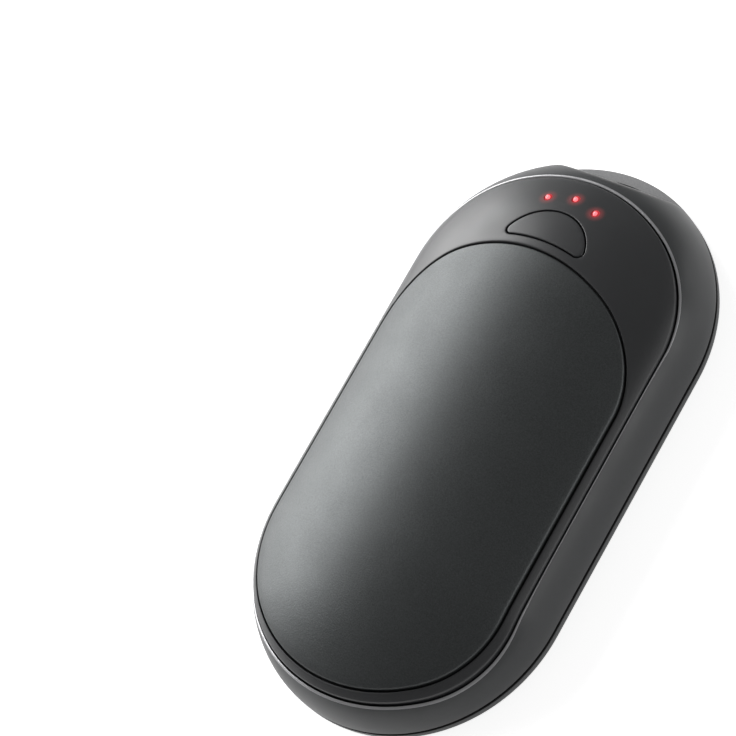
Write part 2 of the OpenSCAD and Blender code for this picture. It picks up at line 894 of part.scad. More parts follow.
// Connector under the board that takes the battery's wires
module battery_connector() {
    color("#e8e4da")
        difference() {
            centred_box(plug_size, 0, plug_y, board_z - plug_size[2]);
            for (s = [-1, 1])
                translate([s * plug_size[0] / 4, plug_y - plug_size[1] / 2 - over, wire_z])
                    rotate([-quarter, 0, 0])
                        cylinder(d = wire_d + lap_clear, h = plug_size[1] / 2 + over, $fn = 32);
        }
}

wire_z = board_z - plug_size[2] / 2;

// Two cross-head screws that hold the board
module board_screws() {
    color("#a7aaad")
        for (s = [-1, 1])
            translate([s * post_x, post_y, board_top])
                difference() {
                    union() {
                        translate([0, 0, -board_t - screw_l + over])
                            cylinder(d = screw_d - lap_clear / 5, h = board_t + screw_l - over, $fn = 32);
                        cylinder(d = screw_head, h = screw_head_h);
                    }
                    for (a = [0, quarter])
                        rotate([0, 0, a])
                            translate([-cross_side / 2, -screw_cross / 2, screw_head_h / 2])
                                cube([cross_side, screw_cross, screw_head_h]);
                }
}

// Lithium pouch cell with rounded long edges
module battery_cell() {
    color("#c4c8cc")
        translate([0, cell_y1, cell_z0])
            rotate([quarter, 0, 0])
                linear_extrude(height = cell_l)
                    union() {
                        translate([cell_r - cell_w / 2, 0])
                            square([cell_w - cell_r * 2, cell_t]);
                        translate([-cell_w / 2, cell_r])
                            square([cell_w, cell_t - cell_r * 2]);
                        for (s = [-1, 1])
                            for (z = [cell_r, cell_t - cell_r])
                                translate([s * (cell_w / 2 - cell_r), z]) circle(r = cell_r);
                    }
}

// Nickel tabs between the cell and its guard board
module battery_tabs() {
    color("#d8dadc")
        for (s = [-1, 1])
            centred_box(tab_size, s * guard_w / 4, cell_y1 + tab_size[1] / 2, cell_z0 + guard_h / 2);
}

// Protection board of the cell
module battery_guard_board() {
    color("#22684a")
        centred_box([guard_w, guard_t, guard_h], 0, guard_y + guard_t / 2, cell_z0);
}

// Two wires from the guard board to the connector
module battery_leads() {
    y0 = guard_y + guard_t;
    color("#c02020")
        for (s = [-1, 1])
            translate([s * plug_size[0] / 4, y0, wire_z])
                rotate([-quarter, 0, 0])
                    cylinder(d = wire_d, h = plug_y - y0, $fn = 32);
}

// Low frame on the back cover that holds the cell
module battery_tray() {
    w = cell_w + (tray_clear + tray_t) * 2;
    l = cell_l + tray_clear + tray_t;
    color("#4a4f52")
        difference() {
            translate([-w / 2, cell_y0 - tray_clear - tray_t, floor_t])
                cube([w, l, tray_h]);
            translate([tray_t - w / 2, cell_y0 - tray_clear, floor_t - over])
                cube([w - tray_t * 2, l + over, tray_h + over * 2]);
            column(back_film_r + tray_clear, back_film_y0, back_film_y1, 0, floor_t + film_t + tray_clear);
        }
}

back_film_y0 = cell_y0 + back_film_r;
back_film_y1 = cell_y1 - back_film_r;

// Heating film bonded under the heat plate
module front_heater_film() {
    color("#c07a30")
        intersection() {
            pill() crown_band(plate_t, plate_t + film_t, plate_r);
            column(film_r, -end_y, film_y1, 0, body_h);
        }
}

// Heating film on the inside of the back cover
module back_heater_film() {
    color("#c07a30")
        column(back_film_r, back_film_y0, back_film_y1, floor_t, floor_t + film_t);
}

// Soft pad between the back film and the cell
module battery_pad() {
    color("#8d9193")
        column(back_film_r, back_film_y0, back_film_y1, floor_t + film_t, cell_z0);
}

// Sponge that presses the front film against the plate
module front_sponge() {
    r = cell_w / 2 - cell_r;
    color("#5a5d60")
        intersection() {
            pill() dome_under(plate_t + film_t, cell_z1);
            column(r, cell_y0 + r, cell_y1 - r, cell_z1, body_h);
        }
}

// Upright wires that feed the two heating films from the board
module film_leads() {
    y = board_y0 + wire_d;
    color("#d8c9b0")
        union() {
            intersection() {
                for (s = [-1, 1])
                    translate([s * plug_size[0], y, board_top])
                        cylinder(d = wire_d, h = body_h, $fn = 32);
                pill() dome_under(plate_t + film_t, 0);
            }
            for (s = [-1, 1])
                translate([s * plug_size[0], y, floor_t])
                    cylinder(d = wire_d, h = board_z - floor_t, $fn = 32);
        }
}

// Temperature sensor under the front film
module temperature_sensor() {
    y = cell_y1 + (film_y_end - cell_y1) / 3;
    color("#1b1c1e")
        translate([0, y, dome_at(sensor_d / 2, y, plate_t + film_t) - sensor_h])
            cylinder(d = sensor_d, h = sensor_h, $fn = 32);
}

film_y_end = film_y1 + film_r;

// Thermal fuse under the front film
module thermal_fuse() {
    y = cell_y1 + fuse_d;
    x = -sensor_d - fuse_l;
    color("#b8bcc0")
        translate([x, y, dome_at(x, y, plate_t + film_t) - fuse_d / 2])
            rotate([0, quarter, 0])
                cylinder(d = fuse_d, h = fuse_l, $fn = 32);
}

// Adhesive ring that holds the plate on its ledge
module plate_adhesive() {
    color("#0f1011")
        intersection() {
            pill() dome_band(plate_t, plate_t + tape_t);
            difference() {
                plate_column(-seam_w / 2, 0, body_h);
                plate_column(-seam_w / 2 - tape_w, -over, body_h + over);
            }
        }
}

// Four disc magnets in the back cover
module magnets() {
    color("#9ea2a6")
        for (p = magnet_places)
            translate([p[0], p[1], floor_t - magnet_t])
                cylinder(d = magnet_d, h = magnet_t);
}

heat_plate();
face_shell();
side_frame();
back_cover();
power_button();
light_pipes();
port_cover();
port_cover_anchor();
main_board();
usb_shell();
usb_tongue();
tact_switch();
switch_plunger();
status_emitters();
light_baffle();
control_chips();
heater_transistors();
power_inductor();
board_capacitors();
board_resistors();
battery_connector();
board_screws();
battery_cell();
battery_tabs();
battery_guard_board();
battery_leads();
battery_tray();
front_heater_film();
back_heater_film();
battery_pad();
front_sponge();
film_leads();
temperature_sensor();
thermal_fuse();
plate_adhesive();
magnets();
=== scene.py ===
"""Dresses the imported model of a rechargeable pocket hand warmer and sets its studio.

Lengths are written in millimetres in the part's own frame and brought to metres when a
piece is finished.  The unit lies on its flat back, with the button end at +Y.
"""
import math

import bmesh
import bpy
import mathutils
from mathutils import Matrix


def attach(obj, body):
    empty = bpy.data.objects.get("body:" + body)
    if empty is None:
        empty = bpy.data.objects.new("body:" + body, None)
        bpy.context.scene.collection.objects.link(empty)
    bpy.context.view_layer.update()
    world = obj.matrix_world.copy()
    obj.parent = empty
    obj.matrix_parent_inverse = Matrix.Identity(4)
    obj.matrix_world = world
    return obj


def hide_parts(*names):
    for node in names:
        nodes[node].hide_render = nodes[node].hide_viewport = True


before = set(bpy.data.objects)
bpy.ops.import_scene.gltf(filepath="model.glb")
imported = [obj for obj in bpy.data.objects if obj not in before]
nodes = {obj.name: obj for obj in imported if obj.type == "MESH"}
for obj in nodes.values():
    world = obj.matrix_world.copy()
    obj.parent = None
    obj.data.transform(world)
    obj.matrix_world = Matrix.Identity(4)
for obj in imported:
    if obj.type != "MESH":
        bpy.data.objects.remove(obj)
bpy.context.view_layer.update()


# Back cover: the thin flat half of satin dark grey polycarbonate that the unit lies on.
# It is one moulding, with a rounded foot edge, a shallow rim up to the parting line
# and a lip that stands up inside the side frame.
MM = 0.001
body_r = 26.0
end_y = 22.0
body_end = end_y + body_r
parting_z = 1.9
seam_w = 0.3
groove_w = 0.46
rim_z = parting_z - groove_w / 2
foot_r = 0.7
floor_t = 1.4
wall_t = 1.6
lip_t = 1.1
lip_h = 1.2
lip_out = body_r - wall_t - seam_w
lip_in = lip_out - lip_t
lip_z = parting_z + lip_h
edge_r = 0.12
weld_gap = edge_r / 100
end_turns = 96


def points_of(geom):
    """The points among what a mesh operator gives back."""
    return [v for v in geom if isinstance(v, bmesh.types.BMVert)]


def edges_along(geom, points):
    """The edges among what an operator gives back that join the given points."""
    ends = set(points)
    return [e for e in geom if isinstance(e, bmesh.types.BMEdge) and set(e.verts) <= ends]


def swept_pill(section, head_y, foot_y, turn_steps, side_steps=1, closed=True):
    """Sweeps a half section of (radius, height) points round both ends of the pill."""
    bm = bmesh.new()
    row = bm.verts.layers.int.new("row")
    chain = []
    for number, (radius, height) in enumerate(section):
        point = bm.verts.new((radius, head_y, height))
        point[row] = number
        chain.append(point)
    pairs = list(zip(chain, chain[1:]))
    if closed:
        pairs.append((chain[-1], chain[0]))
    chain += [bm.edges.new(pair) for pair in pairs]
    for centre, travel in ((head_y, foot_y - head_y), (foot_y, head_y - foot_y)):
        chain = bmesh.ops.spin(
            bm, geom=chain, cent=(0, centre, 0), axis=(0, 0, 1), angle=math.pi,
            steps=turn_steps, use_duplicate=False)["geom_last"]
        for _ in range(side_steps):
            edges = [e for e in chain if isinstance(e, bmesh.types.BMEdge)]
            fresh = bmesh.ops.extrude_edge_only(bm, edges=edges)["geom"]
            points = points_of(fresh)
            bmesh.ops.translate(bm, vec=(0, travel / side_steps, 0), verts=points)
            chain = points + edges_along(fresh, points)
    bmesh.ops.remove_doubles(bm, verts=bm.verts, dist=weld_gap)
    bmesh.ops.recalc_face_normals(bm, faces=bm.faces)
    return bm


def as_object(bm, name):
    """Puts a mesh in millimetres into the scene as an object in metres."""
    bmesh.ops.scale(bm, vec=(MM, MM, MM), verts=bm.verts)
    mesh = bpy.data.meshes.new(name)
    bm.to_mesh(mesh)
    bm.free()
    piece = bpy.data.objects.new(name, mesh)
    bpy.context.scene.collection.objects.link(piece)
    return piece


def carve(piece, tool, how="DIFFERENCE"):
    """Cuts a tool from a piece, or joins it on, and removes the tool."""
    cut = piece.modifiers.new("cut", "BOOLEAN")
    cut.operation = how
    cut.solver = "MANIFOLD"
    cut.object = tool
    view = bpy.context.evaluated_depsgraph_get()
    old = piece.data
    piece.data = bpy.data.meshes.new_from_object(piece.evaluated_get(view))
    piece.modifiers.clear()
    bpy.data.meshes.remove(old)
    bpy.data.meshes.remove(tool.data)


def smooth(piece, corner=32):
    """Shades a piece smooth, with sharp edges where its faces turn a corner."""
    for face in piece.data.polygons:
        face.use_smooth = True
    piece.data.set_sharp_from_angle(angle=math.radians(corner))


mottle_scale = 180
mottle_range = (0.3, 0.7)
gloss_spread = 0.03


def satin(name, colour, rough, metal=0.0, grain=0.12, relief=0.05, tint=0.08):
    """Moulded or coated finish: fine grain, faint mottling and uneven gloss."""
    material = bpy.data.materials.new(name)
    material.use_nodes = True
    tree = material.node_tree
    shader = tree.nodes["Principled BSDF"]
    shader.inputs["Metallic"].default_value = metal
    place = tree.nodes.new("ShaderNodeTexCoord")
    fine = tree.nodes.new("ShaderNodeTexNoise")
    fine.inputs["Scale"].default_value = 1 / (grain * MM)
    fine.inputs["Detail"].default_value = 3
    broad = tree.nodes.new("ShaderNodeTexNoise")
    broad.inputs["Scale"].default_value = mottle_scale
    broad.inputs["Detail"].default_value = 4
    for texture in (fine, broad):
        tree.links.new(place.outputs["Object"], texture.inputs["Vector"])
    shade = tree.nodes.new("ShaderNodeMix")
    shade.data_type = "RGBA"
    shade.inputs["A"].default_value = [c * (1 - tint) for c in colour] + [1]
    shade.inputs["B"].default_value = [c * (1 + tint) for c in colour] + [1]
    tree.links.new(fine.outputs["Fac"], shade.inputs["Factor"])
    tree.links.new(shade.outputs["Result"], shader.inputs["Base Color"])
    gloss = tree.nodes.new("ShaderNodeMapRange")
    gloss.inputs["From Min"].default_value = mottle_range[0]
    gloss.inputs["From Max"].default_value = mottle_range[1]
    gloss.inputs["To Min"].default_value = rough - gloss_spread
    gloss.inputs["To Max"].default_value = rough + gloss_spread
    tree.links.new(broad.outputs["Fac"], gloss.inputs["Value"])
    tree.links.new(gloss.outputs["Result"], shader.inputs["Roughness"])
    bump = tree.nodes.new("ShaderNodeBump")
    bump.inputs["Strength"].default_value = relief
    bump.inputs["Distance"].default_value = grain * MM / 4
    tree.links.new(fine.outputs["Fac"], bump.inputs["Height"])
    tree.links.new(bump.outputs["Normal"], shader.inputs["Normal"])
    return material


def dress(piece, material):
    """Gives a piece, or a carried-over part, one material."""
    piece.data.materials.clear()
    piece.data.materials.append(material)


def arc(centre_x, centre_z, radius, start, stop, steps):
    """Points of an arc in the half section, its angles in degrees from outward level."""
    angles = [math.radians(start + (stop - start) * i / steps) for i in range(steps + 1)]
    return [(centre_x + radius * math.cos(a), centre_z + radius * math.sin(a)) for a in angles]


back_section = (
    [(0.0, 0.0)]
    + arc(body_r - foot_r, foot_r, foot_r, -90, 0, 8)
    + arc(body_r - edge_r, rim_z - edge_r, edge_r, 0, 90, 3)
    + [(lip_out, rim_z)]
    + arc(lip_out - edge_r, lip_z - edge_r, edge_r, 0, 90, 3)
    + [(lip_in, lip_z), (lip_in, floor_t), (0.0, floor_t)])
back_shell = as_object(
    swept_pill(back_section, end_y, -end_y, end_turns, closed=False), "back_shell")


def sector(section, start, stop, steps):
    """Closed solid: a half section turned about the button end's centre."""
    bm = bmesh.new()
    points = [bm.verts.new((r, end_y, z)) for r, z in section]
    face = bm.faces.new(points)
    bmesh.ops.rotate(bm, cent=(0, end_y, 0), verts=points,
                     matrix=mathutils.Matrix.Rotation(math.radians(start), 3, "Z"))
    bmesh.ops.spin(bm, geom=[face], cent=(0, end_y, 0), axis=(0, 0, 1),
                   angle=math.radians(stop - start), steps=steps, use_duplicate=False)
    bmesh.ops.recalc_face_normals(bm, faces=bm.faces)
    return bm


# The port cover lies in a recess of the rounded shoulder.  Its ends are directions
# about the button end's centre: arc_unit is what one millimetre spans there.
shoulder_r = 11.0
shoulder_x = body_r - shoulder_r
port_angle = 149.0
arc_unit = 180 / math.pi / body_r
hinge_side = 8.6
tab_side = 9.5
anchor_len = 1.8
cover_from = port_angle - hinge_side * arc_unit
cover_to = port_angle + tab_side * arc_unit
anchor_from = cover_from - anchor_len * arc_unit
cover_gap = 0.25
gap_angle = cover_gap * arc_unit
cover_low = 0.8
cover_high = 6.4
cover_t = 1.4
recess_in = cover_t + cover_gap
cover_turns = 40
# Overrun of the tools that cut right through
over = 1.0


def wall_arc(inset, low, high, steps):
    """Half section of the round side wall, less an inset, between two heights."""
    radius = shoulder_r - inset
    start = math.degrees(math.asin((max(low, parting_z) - parting_z) / radius))
    stop = math.degrees(math.asin((high - parting_z) / radius))
    points = arc(shoulder_x, parting_z, radius, start, stop, steps)
    if low < parting_z:
        points.insert(0, (body_r - inset, low))
    return points


def recess_tool(low):
    """Tool that cuts the port cover's recess from some height upwards."""
    high = cover_high + cover_gap
    far = body_r + over * 2
    section = wall_arc(recess_in, low, high, 8) + [(far, high), (far, low)]
    return as_object(
        sector(section, anchor_from - gap_angle, cover_to + gap_angle, cover_turns), "tool")


carve(back_shell, recess_tool(cover_low - cover_gap))


# The lanyard slot is a lens behind the bar, open right through the unit's end
slot_l = 9.0
slot_w = 1.4
bar_t = 1.6
slot_y = body_end - bar_t - slot_w / 2


def slot_tool(low, high):
    """Upright lens made of two arcs that meet at the slot's ends."""
    radius = (slot_l ** 2 + slot_w ** 2) / 4 / slot_w
    half = math.asin(slot_l / 2 / radius)
    bm = bmesh.new()
    start = bm.verts.new((slot_l / 2, slot_y, low))
    chain = [start]
    for side in (1, -1):
        chain = bmesh.ops.spin(
            bm, geom=points_of(chain), cent=(0, slot_y - side * (radius - slot_w / 2), low),
            axis=(0, 0, 1), angle=2 * half, steps=32, use_duplicate=False)["geom_last"]
    bmesh.ops.remove_doubles(bm, verts=bm.verts, dist=weld_gap)
    base = bmesh.ops.contextual_create(bm, geom=bm.edges)["faces"]
    top = bmesh.ops.extrude_face_region(bm, geom=base)["geom"]
    bmesh.ops.translate(bm, vec=(0, 0, high - low), verts=points_of(top))
    bmesh.ops.recalc_face_normals(bm, faces=bm.faces)
    return as_object(bm, "tool")


carve(back_shell, slot_tool(-over, floor_t + over))
smooth(back_shell)
# Painted shade: this near-black finish stands for the shade inside the parting groove
groove_painted_shade = satin("groove_painted_shade", (0.004, 0.004, 0.004), 0.8)
shell_grey = satin("satin_grey_back", (0.080, 0.082, 0.084), 0.42)
dress(back_shell, shell_grey)
back_shell.data.materials.append(groove_painted_shade)
# All that stands above the rim's outer edge shows only inside the parting groove, and is painted
# near-black as painted shade for the groove's dark inside
for f in back_shell.data.polygons:
    if f.center.z / MM > rim_z - edge_r:
        f.material_index = 1
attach(back_shell, "housing")
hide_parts("back_cover")


# Side frame: the rounded band of satin dark grey plastic between the back cover and
# the face.  One moulding, with the lanyard notch pressed into its button end and the
# recess of the port cover cut into its shoulder.
frame_z = parting_z + groove_w / 2
crown_z = 17.0
rise = crown_z - parting_z
dome_r = (body_r ** 2 + rise ** 2 - 2 * body_r * shoulder_r) / (2 * (rise - shoulder_r))
dome_z = crown_z - dome_r
bar_h = 1.0
ledge_z = parting_z + bar_h
notch_foot = 2.1
notch_top = 5.2
notch_foot_y = body_end - notch_foot
notch_lean = (notch_top - notch_foot) / (parting_z + shoulder_r - ledge_z)
notch_wall = 2.2
notch_round = 0.55
flange_w = 1.0
flange_t = 1.0
face_t = 1.4
lap_clear = 0.15
lip_break = 0.48
# The dome's arc runs on into the shoulder's arc where both have the same slope
tangent_r = shoulder_x * dome_r / math.hypot(shoulder_x, parting_z - dome_z)
tangent_up = math.atan2(parting_z - dome_z, shoulder_x)
shoulder_len = shoulder_r * tangent_up


def dome_height(radius, inset=0.0):
    """Height of the outside, less an inset, at a distance from the spine."""
    if radius > tangent_r * (dome_r - inset) / dome_r:
        return parting_z + math.sqrt((shoulder_r - inset) ** 2 - (radius - shoulder_x) ** 2)
    return dome_z + math.sqrt((dome_r - inset) ** 2 - radius ** 2)


def skin_point(travel):
    """(radius, height) on the outside, a length up from the parting line."""
    if travel < shoulder_len:
        angle = travel / shoulder_r
        return (shoulder_x + shoulder_r * math.cos(angle),
                parting_z + shoulder_r * math.sin(angle))
    lean = math.pi / 2 - tangent_up - (travel - shoulder_len) / dome_r
    return dome_r * math.sin(lean), dome_z + dome_r * math.cos(lean)


def skin_travel(radius):
    """Length up the outside at which it has this distance from the spine."""
    if radius > tangent_r:
        return shoulder_r * math.acos((radius - shoulder_x) / shoulder_r)
    return shoulder_len + dome_r * (math.pi / 2 - tangent_up - math.asin(radius / dome_r))


def end_reach(corner, flat):
    """How far the flatter arc's centre lies behind the two corner arcs' centres."""
    return math.sqrt(flat * flat + 2 * flat * corner)


def outline(half, head, foot):
    """Outline of the face or the plate, whose ends are two corner arcs and a flatter one.

    Each end is given by its distance from the body's end, how far its corner arcs'
    centres stand from the middle and how much more radius the flatter arc has.  The
    outline is kept as its half width and, for each end, the Y of the corner arcs'
    centres in place of that distance.
    """
    ends = [(body_end - gap - half - flat + end_reach(corner, flat), corner, flat)
            for gap, corner, flat in (head, foot)]
    return half, ends[0], (-ends[1][0], *ends[1][1:])


face_side = 2.8
face_foot = 2.8
notch_rim = 1.5
face_head = notch_top + notch_rim
foot_arcs = (4.0, 2.5)
face_half = body_r - face_side
face_line = outline(face_half, (face_head, 4.0, 3.5), (face_foot, *foot_arcs))


def line_gap(line, x, y):
    """Signed distance of a point from an outline, positive outside."""
    half, (head_y, *head), (foot_y, *foot) = line
    past = max(y - head_y, foot_y - y, 0)
    if not past:
        return abs(x) - half
    corner, flat = head if y > head_y else foot
    back = end_reach(corner, flat)
    if abs(x) * back < (past + back) * corner:
        return math.hypot(x, past + back) - half - flat
    return math.hypot(abs(x) - corner, past) - half + corner


def opening_reach(spine_y, way):
    """Distance from a point of the spine to the opening for the face shell."""
    near, far = 0.0, body_r
    for _ in range(30):
        middle = (near + far) / 2
        gap = line_gap(face_line, way.x * middle, spine_y + way.y * middle) - seam_w
        near, far = (middle, far) if gap < 0 else (near, middle)
    return near


def broken_edge(radius, steps):
    """(inset, drop) pairs of a rounded edge, from its flat to its wall."""
    angles = [math.pi / 2 * i / steps for i in range(steps + 1)]
    return [(radius * (1 - math.sin(a)), radius * (1 - math.cos(a))) for a in angles]


def pressed(proud, round_r):
    """How far a point that stands proud of a plane is pressed back, with a soft bend."""
    if proud < -round_r:
        return 0.0
    if proud > round_r:
        return proud
    return (proud + round_r) ** 2 / (4 * round_r)


# Rows of the frame's section, from its foot up the outside, over the lip, down the
# opening's wall and its flange, and back down the inside
skin_rows = 46
inner_rows = 7
bar_middle = (parting_z + ledge_z) / 2
low_travels = [shoulder_r * math.asin((z - parting_z) / shoulder_r)
               for z in (frame_z + edge_r, bar_middle, ledge_z - edge_r, ledge_z)]
ledge_travel = low_travels[-1]
shelf_depth = face_t + lap_clear
frame_rows = ["inner_foot", "outer_foot"]
frame_rows += [("low", travel) for travel in low_travels]
frame_rows += [("skin", i / (skin_rows - 1)) for i in range(skin_rows)]
frame_rows += [("lip", inset, drop) for inset, drop in broken_edge(lip_break, 6)[1:]]
frame_rows += [("wall", 0.0, shelf_depth), ("wall", -flange_w, shelf_depth),
               ("wall", -flange_w, shelf_depth + flange_t)]
frame_rows += [("inside", 1 - i / (inner_rows - 1)) for i in range(inner_rows)]

# The lip is a fine line along the sides and widens to its full width round the ends
fine_to = 14
broad_from = 32
fine_lip = 0.3


def lip_share(y):
    """Share of the lip's full width: broad round both ends, fine along the sides."""
    way = min(max((abs(y) - fine_to) / (broad_from - fine_to), 0), 1)
    return fine_lip + (1 - fine_lip) * way * way * (3 - 2 * way)


# The frame's inside ends a little below the shelf that carries the face
under_gap = 0.25
reach_gap = 0.1
steepest = 0.99


def frame_place(kind, spine_y, way, reach):
    """(radius, height, how the notch presses it) of one row of the side frame."""
    if kind == "inner_foot":
        return body_r - wall_t, frame_z, notch_wall
    if kind == "outer_foot":
        return body_r - edge_r, frame_z, None
    if kind[0] == "low":
        radius, height = skin_point(kind[1])
        return radius, height, None
    share = lip_share(spine_y + way.y * reach)
    end = skin_travel(reach + lip_break * share)
    if kind[0] == "skin":
        radius, height = skin_point(ledge_travel + kind[1] * (end - ledge_travel))
        return radius, height, 0.0
    if kind[0] == "lip":
        radius = reach + kind[1] * share
        return radius, dome_height(radius, kind[2] * share), 0.0
    if kind[0] == "wall":
        return reach + kind[1], dome_height(reach + kind[1], kind[2]), None
    inner_r = shoulder_r - wall_t
    high = min(dome_height(reach - reach_gap, wall_t),
               dome_height(reach, shelf_depth) - under_gap)
    top = math.asin(min((high - parting_z) / inner_r, steepest))
    low = math.asin((frame_z - parting_z) / inner_r)
    angle = low + kind[1] * (top - low)
    return (shoulder_x + inner_r * math.cos(angle),
            parting_z + inner_r * math.sin(angle), notch_wall)


# The rows start side by side and only number the mesh: each point then gets its place
row_step = 0.01
frame_turns = 260
frame_sides = 12
bm = swept_pill([(body_r - row_step * i, frame_z) for i in range(len(frame_rows))],
                end_y, -end_y, frame_turns, frame_sides)
row = bm.verts.layers.int["row"]
reaches = {}
for v in bm.verts:
    spine_y = min(max(v.co.y, -end_y), end_y)
    way = v.co.copy()
    way.y -= spine_y
    way.z = 0
    way.normalize()
    column = (round(spine_y, 4), round(way.x, 5), round(way.y, 5))
    if column not in reaches:
        reaches[column] = opening_reach(spine_y, way)
    reach = reaches[column]
    radius, height, press = frame_place(frame_rows[v[row]], spine_y, way, reach)
    x, y = way.x * radius, spine_y + way.y * radius
    if press is not None:
        plane_y = notch_foot_y - press - (height - ledge_z) * notch_lean
        y -= pressed(y - plane_y, notch_round)
    v.co = (x, y, height)
bmesh.ops.recalc_face_normals(bm, faces=bm.faces)
frame_shell = as_object(bm, "frame_shell")

# A wall behind the port cover's recess holds the charging port's mouth
port_wall = 1.2
wall_top = cover_high + 1.0
wall_from = anchor_from - arc_unit
wall_to = cover_to + arc_unit
wall_section = (wall_arc(recess_in + port_wall, frame_z, wall_top, 8)
                + wall_arc(wall_t / 2, frame_z, wall_top, 8)[::-1])
wall_bm = sector(wall_section, wall_from, wall_to, cover_turns)
carve(frame_shell, as_object(wall_bm, "tool"), "UNION")
carve(frame_shell, recess_tool(0))
slot_top = 9
carve(frame_shell, slot_tool(0, slot_top))
usb_h = 3.2
board_z = 5.9
usb_z = board_z - usb_h / 2
usb_mouth = shoulder_x + math.sqrt((shoulder_r - recess_in) ** 2 - (board_z - parting_z) ** 2)


def stadium_bar(width, height, near, far, bevel=0.0):
    """Bar with a stadium section that points out of the charging port.

    Its inner end may be bevelled.
    """
    bm = bmesh.new()
    bmesh.ops.create_circle(bm, cap_ends=True, radius=height / 2, segments=48)
    for v in bm.verts:
        v.co.x += math.copysign((width - height) / 2, v.co.x)
    face = bm.faces[:]
    top = bmesh.ops.extrude_face_region(bm, geom=face)["geom"]
    bmesh.ops.translate(bm, vec=(0, 0, far - near), verts=points_of(top))
    if bevel:
        rim = [e for e in bm.edges if all(abs(v.co.z) < bevel for v in e.verts)]
        bmesh.ops.bevel(bm, geom=rim, offset=bevel, segments=3, affect="EDGES",
                        profile=0.5, material=-1)
    angle = math.radians(port_angle)
    out = (math.cos(angle), math.sin(angle))
    for v in bm.verts:
        across, up, along = v.co.x, v.co.y, v.co.z + usb_mouth + near
        v.co = (out[0] * along - out[1] * across, end_y + out[1] * along + out[0] * across,
                usb_z + up)
    bmesh.ops.recalc_face_normals(bm, faces=bm.faces)
    return bm


usb_w = 8.9
usb_clear = 0.15
port_deep = 4
port_hole = stadium_bar(usb_w + usb_clear * 2, usb_h + usb_clear * 2, -port_deep, port_deep)
carve(frame_shell, as_object(port_hole, "tool"))
smooth(frame_shell)
frame_grey = satin("satin_grey_frame", (0.040, 0.042, 0.044), 0.40)
dress(frame_shell, frame_grey)

# The notch's wall gets painted shade: above the ledge, the colour fades to black where the surface
# reaches the leaning plane
fade_from = 0.7
fade_to = 0.1
ledge_fade = 0.05
notch_tree = frame_grey.node_tree
notch_shader = notch_tree.nodes["Principled BSDF"]
notch_place = notch_tree.nodes.new("ShaderNodeTexCoord")
lean_sum = notch_tree.nodes.new("ShaderNodeVectorMath")
lean_sum.operation = "DOT_PRODUCT"
lean_sum.inputs[1].default_value = (0, 1, notch_lean)
plane_at = notch_foot_y + ledge_z * notch_lean
near_wall = notch_tree.nodes.new("ShaderNodeMapRange")
near_wall.interpolation_type = "SMOOTHSTEP"
near_wall.inputs["From Min"].default_value = (plane_at - fade_from) * MM
near_wall.inputs["From Max"].default_value = (plane_at - fade_to) * MM
notch_split = notch_tree.nodes.new("ShaderNodeSeparateXYZ")
over_ledge = notch_tree.nodes.new("ShaderNodeMapRange")
over_ledge.inputs["From Min"].default_value = (ledge_z - ledge_fade) * MM
over_ledge.inputs["From Max"].default_value = (ledge_z + ledge_fade) * MM
both = notch_tree.nodes.new("ShaderNodeMath")
both.operation = "MULTIPLY"
# Painted shade: the near-black colour mixed into the frame's grey on the notch's wall
notch_painted_shade = notch_tree.nodes.new("ShaderNodeMix")
notch_painted_shade.data_type = "RGBA"
notch_painted_shade.inputs["B"].default_value = (0.006, 0.006, 0.0065, 1)
notch_tree.links.new(notch_place.outputs["Object"], lean_sum.inputs[0])
notch_tree.links.new(lean_sum.outputs["Value"], near_wall.inputs["Value"])
notch_tree.links.new(notch_place.outputs["Object"], notch_split.inputs[0])
notch_tree.links.new(notch_split.outputs["Z"], over_ledge.inputs["Value"])
notch_tree.links.new(near_wall.outputs["Result"], both.inputs[0])
notch_tree.links.new(over_ledge.outputs["Result"], both.inputs[1])
notch_tree.links.new(both.outputs["Value"], notch_painted_shade.inputs["Factor"])
notch_tree.links.new(notch_shader.inputs["Base Color"].links[0].from_socket, notch_painted_shade.inputs["A"])
notch_tree.links.new(notch_painted_shade.outputs["Result"], notch_shader.inputs["Base Color"])

# The lip's bright grey is a painted highlight, and the ledge in the notch has a coarse texture
# whose paler grey is a painted highlight on its upward faces
lip_painted_highlight = satin("painted_lip_highlight", (0.42, 0.42, 0.43), 0.32, metal=0.5)
ledge_painted_light = satin("textured_ledge_painted_light", (0.30, 0.30, 0.305), 0.6, grain=0.25, relief=0.3, tint=0.2)
frame_shell.data.materials.append(lip_painted_highlight)
frame_shell.data.materials.append(ledge_painted_light)
highlight_facing_up = 0.95
# Faces along the lip take the painted highlight, and the ledge's upward faces its paler painted
# light
for f in frame_shell.data.polygons:
    x, y, z = f.center / MM
    away = math.hypot(x, max(abs(y) - end_y, 0))
    depth = dome_height(away) - z if z > ledge_z + over else body_r
    lip = lip_break * lip_share(y)
    if 0 < line_gap(face_line, x, y) - seam_w < lip and depth < lip:
        f.material_index = 1
    elif f.normal.z > highlight_facing_up and abs(z - ledge_z) < edge_r:
        f.material_index = 2
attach(frame_shell, "housing")
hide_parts("side_frame")


# Face shell: the domed plastic face round the heat plate.  Its outer edge is softly
# broken and stands in a fine seam, and it carries the button hole and the lamp holes.
face_rim = 1.3
plate_head = 20.9
plate_foot = 4.3
plate_line = outline(face_half - face_rim, (plate_head, 5.0, 6.5), (plate_foot, *foot_arcs))
hole_r = plate_line[0] + seam_w
plate_t = 1.0
ledge_w = 2.0
ledge_t = 1.0
ledge_top = plate_t + lap_clear
ledge_low = ledge_top + ledge_t
face_break = 0.14
face_grow = 0.1
inner_break = 0.3
face_steps = 30
under_steps = 8
line_turns = 128
line_sides = 16


def between(share, offset, depth):
    """One row of the face: a share of the way from the plate's hole to its outer edge."""
    line = tuple(tuple(a + (b - a) * share for a, b in zip(inner, outer))
                 for inner, outer in zip(plate_line[1:], face_line[1:]))
    return (hole_r + (face_line[0] - hole_r) * share, *line), 1.0, offset, depth


